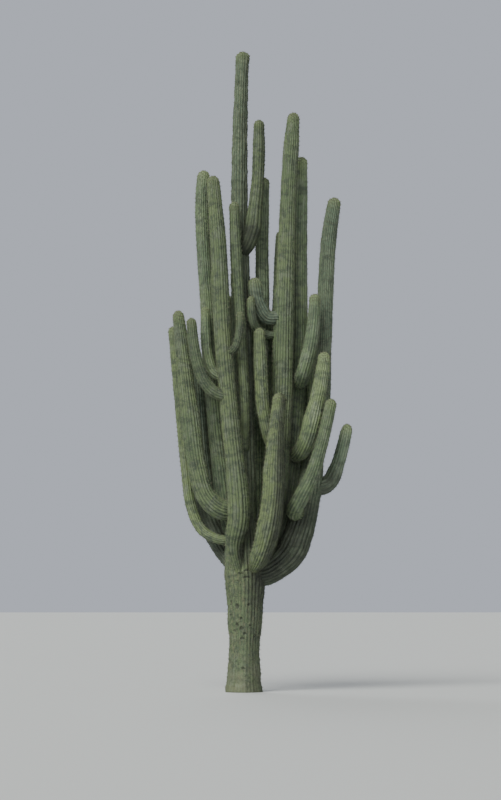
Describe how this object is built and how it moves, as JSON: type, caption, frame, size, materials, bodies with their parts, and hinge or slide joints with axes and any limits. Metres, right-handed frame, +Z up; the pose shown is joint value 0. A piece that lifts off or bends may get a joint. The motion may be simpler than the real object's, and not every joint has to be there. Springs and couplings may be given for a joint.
{
  "type": "saguaro cactus",
  "caption": "Tall rooted saguaro cactus: a stout fluted trunk forks low down into a dense crown of upright ribbed arms with rounded tips.",
  "frame": {"origin": "middle of the flat cut under the trunk, at ground level", "axes": "+Z up along the trunk, -Y towards the viewer of the plant's front, +X to the viewer's right"},
  "size_m": [4.0223, 2.7015, 14.08],
  "materials": {
    "trunk_skin": "waxy olive-green ribbed skin, browner and corky near the ground, with old dark scars and holes",
    "arm_skin": "waxy green ribbed skin, yellower on the rib crests and blue-green in the furrows, under rows of pale spines"
  },
  "bodies": {
    "root": {"centre_bud": "arm_skin", "centre_front_arm": "arm_skin", "centre_right_arm": "arm_skin", "far_right_arm_elbow": "arm_skin", "far_right_arm_shaft": "arm_skin", "front_left_column": "arm_skin", "front_right_column": "arm_skin", "high_arm": "arm_skin", "left_big_arm_elbow": "arm_skin", "left_big_arm_shaft": "arm_skin", "left_column": "arm_skin", "left_front_arm_elbow": "arm_skin", "left_front_arm_shaft": "arm_skin", "left_inner_stub": "arm_skin", "left_outer_arm_elbow": "arm_skin", "left_outer_arm_shaft": "arm_skin", "left_rear_arm_elbow": "arm_skin", "left_rear_arm_shaft": "arm_skin", "rear_big_arm_elbow": "arm_skin", "rear_big_arm_shaft": "arm_skin", "rear_bud": "arm_skin", "rear_centre_column": "arm_skin", "rear_far_right_arm": "arm_skin", "rear_inner_column": "arm_skin", "rear_left_arm_elbow": "arm_skin", "rear_left_arm_shaft": "arm_skin", "rear_left_column": "arm_skin", "rear_low_arm_elbow": "arm_skin", "rear_low_arm_shaft": "arm_skin", "rear_right_arm_elbow": "arm_skin", "rear_right_arm_shaft": "arm_skin", "rear_right_column": "arm_skin", "rear_side_column": "arm_skin", "rear_stub": "arm_skin", "rear_tall_arm": "arm_skin", "right_column": "arm_skin", "right_lower_arm": "arm_skin", "right_middle_arm": "arm_skin", "right_outer_arm_elbow": "arm_skin", "right_outer_arm_shaft": "arm_skin", "right_upper_arm": "arm_skin", "trunk": "trunk_skin", "upper_bud": "arm_skin", "upper_stub": "arm_skin"}
  },
  "joints": []
}
